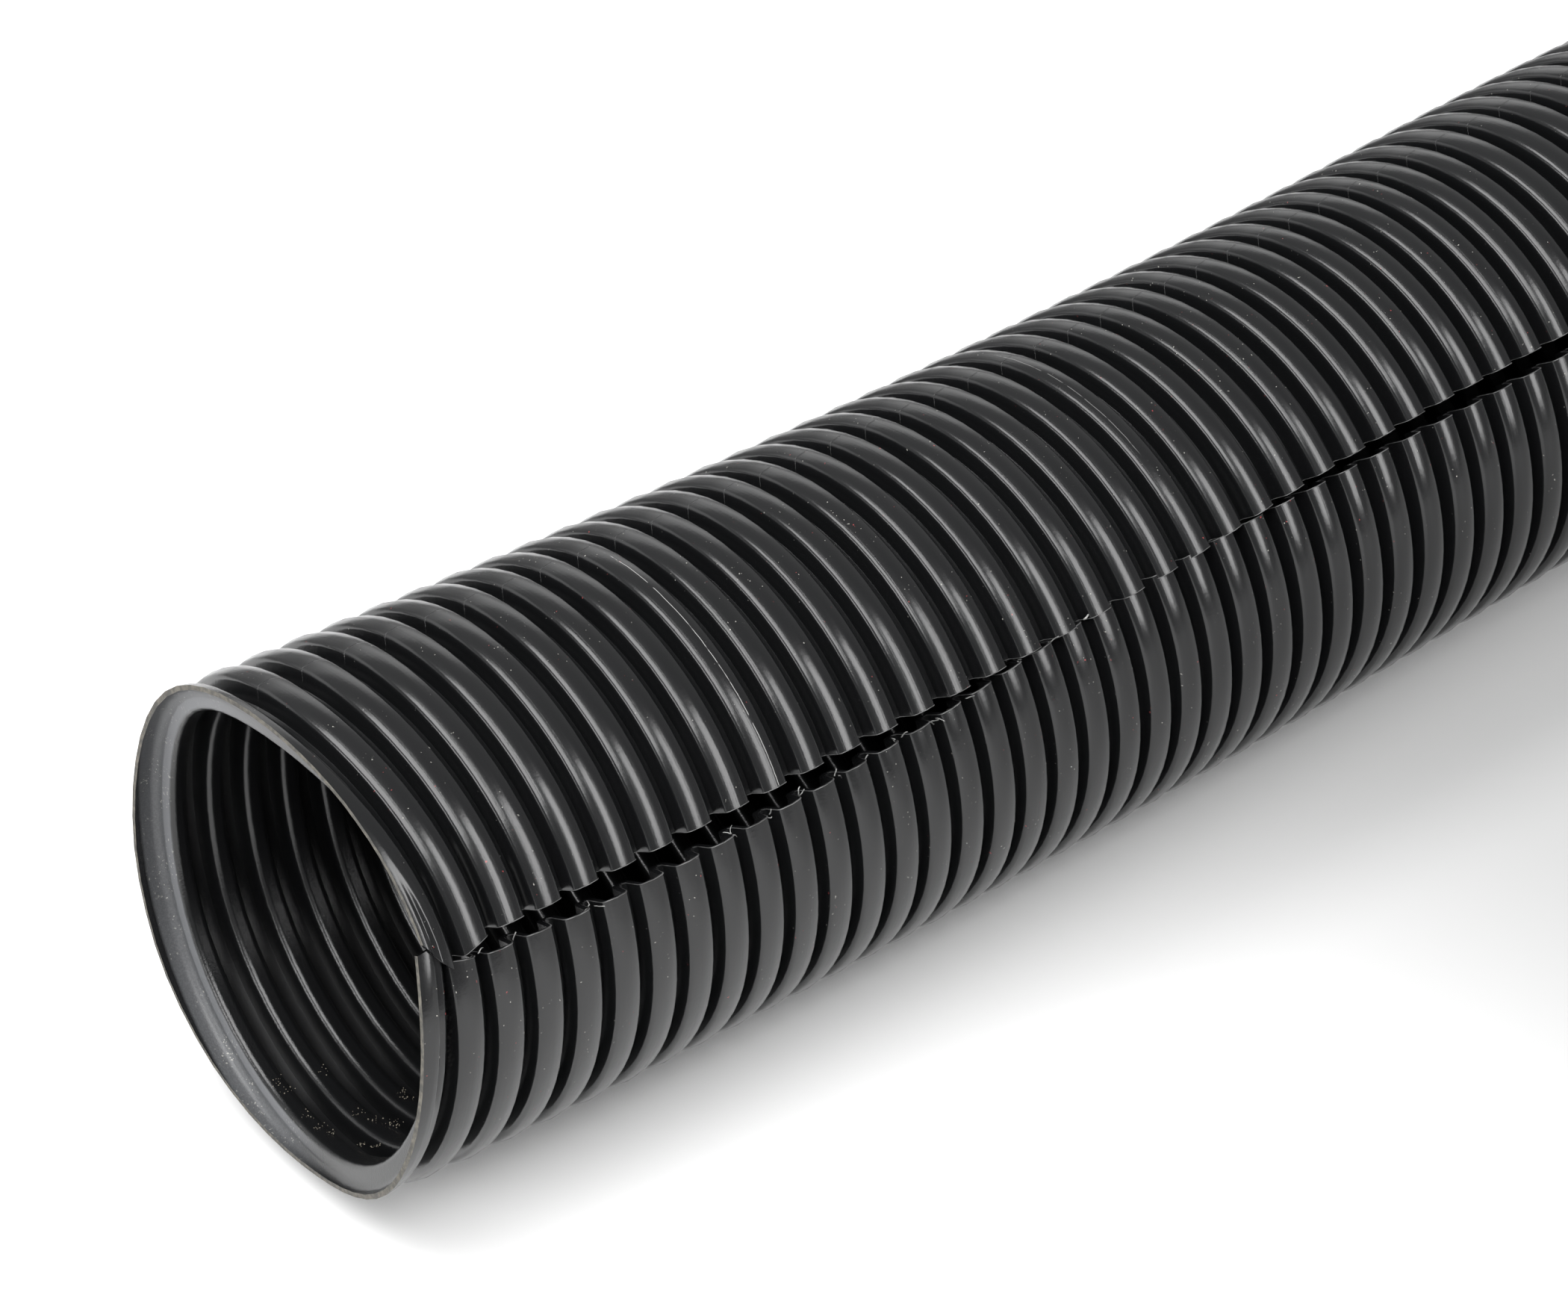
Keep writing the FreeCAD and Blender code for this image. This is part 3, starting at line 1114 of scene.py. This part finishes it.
class CONDUIT_OT_burrs(bpy.types.Operator):
    """Build the burrs and whiskers along the slit's lips"""

    bl_idname = "conduit.burrs"
    bl_label = "Lip burrs"

    def execute(self, context):
        finish = context.scene.tube_finish
        points, faces, slots = lip_burrs_mesh(context.scene.tube_sizes)
        burrs = make_piece("lip_burrs", points, faces)
        burrs.data.materials.append(torn_plastic("torn_ridge", finish.burr))
        burrs.data.materials.append(torn_plastic("torn_whisker", finish.whisker))
        burrs.data.polygons.foreach_set("material_index", slots)
        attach(burrs, "root")
        return {"FINISHED"}


class CONDUIT_OT_grit(bpy.types.Operator):
    """Scatter the grit inside the mouth"""

    bl_idname = "conduit.grit"
    bl_label = "Grit"

    def execute(self, context):
        grit = make_piece("mouth_grit", *mouth_grit_mesh(context.scene.tube_sizes))
        grit.data.materials.append(grit_grain(context.scene.tube_finish))
        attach(grit, "root")
        return {"FINISHED"}


def softbox(name, box, mouth, radiance):
    """A rectangular light that faces the mouth: box is its place from there, its width's direction and
    its size. Its power follows from its radiance in watts per square metre and steradian.
    """
    place, across, size = box
    data = bpy.data.lights.new(name, "AREA")
    data.shape = "RECTANGLE"
    data.size, data.size_y = size
    data.energy = radiance * math.pi * size[0] * size[1]
    back = Vector(place).normalized()
    side = (Vector(across) - back * back.dot(Vector(across))).normalized()
    lamp = bpy.data.objects.new(name, data)
    turn = Matrix((side, back.cross(side), back)).transposed().to_4x4()
    lamp.matrix_world = Matrix.Translation(mouth + Vector(place)) @ turn
    bpy.context.scene.collection.objects.link(lamp)


def photo_camera(mouth):
    """The camera of the photograph, turned and lifted with the tube's tip."""
    turn, down = math.radians(CAMERA_TURN), math.radians(CAMERA_DOWN)
    look = Vector((math.cos(down) * math.sin(turn), math.cos(down) * math.cos(turn), -math.sin(down)))
    right = Vector((math.cos(turn), -math.sin(turn), 0.0))
    base = Matrix((right, right.cross(look), -look)).transposed().to_4x4()
    base.translation = Vector(CAMERA_PLACE) * MM
    lift = Matrix.Translation(mouth + Vector((MOUTH_INSET, 0.0, MOUTH_LIFT)) * MM)
    data = bpy.data.cameras.new("camera")
    data.sensor_width = CAMERA_SENSOR
    data.lens = CAMERA_LENS
    data.clip_start = 0.01
    camera = bpy.data.objects.new("camera", data)
    camera.matrix_world = lift @ Matrix.Rotation(TIP, 4, "Y") @ base
    bpy.context.scene.collection.objects.link(camera)
    return camera


class CONDUIT_OT_stage(bpy.types.Operator):
    """Make the floor, the lights and the camera"""

    bl_idname = "conduit.stage"
    bl_label = "Floor, light and camera"

    def execute(self, context):
        look, scene = context.scene.stage_look, context.scene
        mesh = bpy.data.meshes.new("floor")
        corners = [(x * FLOOR_HALF, y * FLOOR_HALF, 0) for x, y in ((-1, -1), (1, -1), (1, 1), (-1, 1))]
        mesh.from_pydata(corners, [], [(0, 1, 2, 3)])
        mesh.materials.append(pale_floor(look))
        floor = bpy.data.objects.new("floor", mesh)
        scene.collection.objects.link(floor)

        mouth = Vector((CAD_LOW.x, 0.0, scene.tube_sizes.crest_radius))
        softbox("overhead_light", OVERHEAD, mouth, look.overhead)
        softbox("strip_light", STRIP, mouth, look.strip)
        softbox("side_light", SIDE, mouth, look.side)
        scene.world = studio_room(look)
        scene.camera = photo_camera(mouth)
        scene.view_settings.view_transform = "Standard"
        return {"FINISHED"}


class CONDUIT_PT_panel(bpy.types.Panel):
    """The conduit's sizes, colours and pieces"""

    bl_idname = "CONDUIT_PT_panel"
    bl_label = "Slit corrugated conduit"
    bl_space_type = "VIEW_3D"
    bl_region_type = "UI"
    bl_category = "Conduit"

    def draw(self, context):
        for name, group in GROUPS.items():
            column = self.layout.column()
            for each in group.__annotations__:
                column.prop(getattr(context.scene, name), each)
        for operator in PIECES:
            self.layout.operator(operator.bl_idname)


GROUPS = {"tube_sizes": TubeSizes, "tube_finish": Finish, "stage_look": StageLook}
PIECES = (CONDUIT_OT_tube, CONDUIT_OT_burrs, CONDUIT_OT_grit, CONDUIT_OT_stage)


def register():
    for group in (*GROUPS.values(), *PIECES, CONDUIT_PT_panel):
        bpy.utils.register_class(group)
    for name, group in GROUPS.items():
        setattr(bpy.types.Scene, name, bpy.props.PointerProperty(type=group))


def unregister():
    for name in GROUPS:
        delattr(bpy.types.Scene, name)
    for group in (CONDUIT_PT_panel, *PIECES, *GROUPS.values()):
        bpy.utils.unregister_class(group)


def main():
    register()
    bpy.ops.conduit.tube()
    bpy.ops.conduit.burrs()
    bpy.ops.conduit.grit()
    bpy.ops.conduit.stage()


if __name__ == "__main__":
    main()
